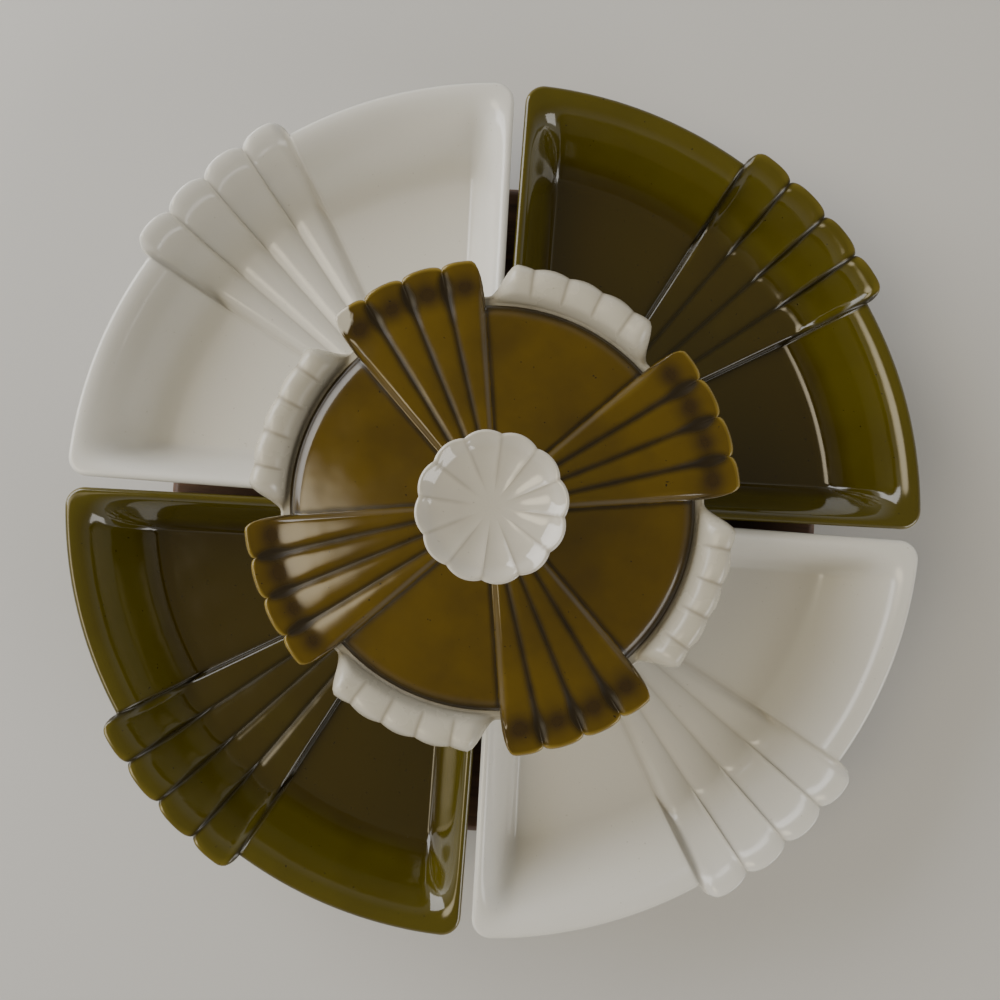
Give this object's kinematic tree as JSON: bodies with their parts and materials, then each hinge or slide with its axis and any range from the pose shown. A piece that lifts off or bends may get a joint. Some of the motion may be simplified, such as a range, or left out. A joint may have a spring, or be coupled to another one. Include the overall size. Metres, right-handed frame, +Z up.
{
  "type": "lazy susan turntable",
  "caption": "Round wooden turntable on a ball-bearing swivel, carrying wedge-shaped glazed trays with raised fans of flutes round a covered bowl with a petal knob.",
  "frame": {"origin": "on the spin axis, on the plane that the rubber feet stand on, which is the middle of the bounding box's bottom face", "axes": "+Z up along the spin axis; +X and +Y run along the gaps between neighbouring trays, so the trays' middle lines lie at 45, 135, 225 and 315 degrees"},
  "size_m": [0.4362, 0.4362, 0.1776],
  "materials": {
    "white_glaze": "glossy off-white glaze",
    "olive_glaze": "glossy translucent olive green glaze, darker where it pools",
    "amber_glaze": "glossy golden olive glaze, dark brown where it pools",
    "walnut": "dark stained and satin varnished",
    "zinc_steel": "zinc plated",
    "ball_steel": "polished bearing steel",
    "nylon": "natural moulded nylon",
    "rubber": "black moulded rubber"
  },
  "bodies": {
    "base": {"base_board": "walnut", "bearing_lower_plate": "zinc_steel", "foot_1": "rubber", "foot_2": "rubber", "foot_3": "rubber", "foot_4": "rubber", "foot_screw_1": "zinc_steel", "foot_screw_2": "zinc_steel", "foot_screw_3": "zinc_steel", "foot_screw_4": "zinc_steel", "base_screw_1": "zinc_steel", "base_screw_2": "zinc_steel", "base_screw_3": "zinc_steel", "base_screw_4": "zinc_steel"},
    "ball_ring": {"ball_cage": "nylon", "ball_01": "ball_steel", "ball_02": "ball_steel", "ball_03": "ball_steel", "ball_04": "ball_steel", "ball_05": "ball_steel", "ball_06": "ball_steel", "ball_07": "ball_steel", "ball_08": "ball_steel", "ball_09": "ball_steel", "ball_10": "ball_steel", "ball_11": "ball_steel", "ball_12": "ball_steel", "ball_13": "ball_steel", "ball_14": "ball_steel", "ball_15": "ball_steel", "ball_16": "ball_steel"},
    "turntable": {"turntable_board": "walnut", "bearing_upper_plate": "zinc_steel", "board_screw_1": "zinc_steel", "board_screw_2": "zinc_steel", "board_screw_3": "zinc_steel", "board_screw_4": "zinc_steel"},
    "tray_olive_a": {"tray_olive_a": "olive_glaze"},
    "tray_white_a": {"tray_white_a": "white_glaze"},
    "tray_olive_b": {"tray_olive_b": "olive_glaze"},
    "tray_white_b": {"tray_white_b": "white_glaze"},
    "bowl": {"bowl": "white_glaze"},
    "cover": {"lid": "amber_glaze", "lid_knob": "white_glaze"}
  },
  "joints": [
    {"name": "turntable_spin", "type": "hinge", "parent": "base", "child": "turntable", "pos_m": [0, 0, 0.021], "axis": [0, 0, 1], "continuous": true},
    {"name": "ball_ring_orbit", "type": "hinge", "parent": "base", "child": "ball_ring", "pos_m": [0, 0, 0.021], "axis": [0, 0, 1], "continuous": true},
    {"name": "tray_olive_a_draw", "type": "slide", "parent": "turntable", "child": "tray_olive_a", "axis": [0.5792, 0.5792, 0.5736], "range_m": [0, 0.16]},
    {"name": "tray_white_a_draw", "type": "slide", "parent": "turntable", "child": "tray_white_a", "axis": [-0.5792, 0.5792, 0.5736], "range_m": [0, 0.16]},
    {"name": "tray_olive_b_draw", "type": "slide", "parent": "turntable", "child": "tray_olive_b", "axis": [-0.5792, -0.5792, 0.5736], "range_m": [0, 0.16]},
    {"name": "tray_white_b_draw", "type": "slide", "parent": "turntable", "child": "tray_white_b", "axis": [0.5792, -0.5792, 0.5736], "range_m": [0, 0.16]},
    {"name": "bowl_lift", "type": "slide", "parent": "turntable", "child": "bowl", "axis": [0, 0, 1], "range_m": [0, 0.15]},
    {"name": "cover_lift", "type": "slide", "parent": "bowl", "child": "cover", "axis": [0, 0, 1], "range_m": [0, 0.12]}
  ],
  "couplings": [
    {"joint": "ball_ring_orbit", "follows": "turntable_spin", "ratio": 0.5}
  ]
}
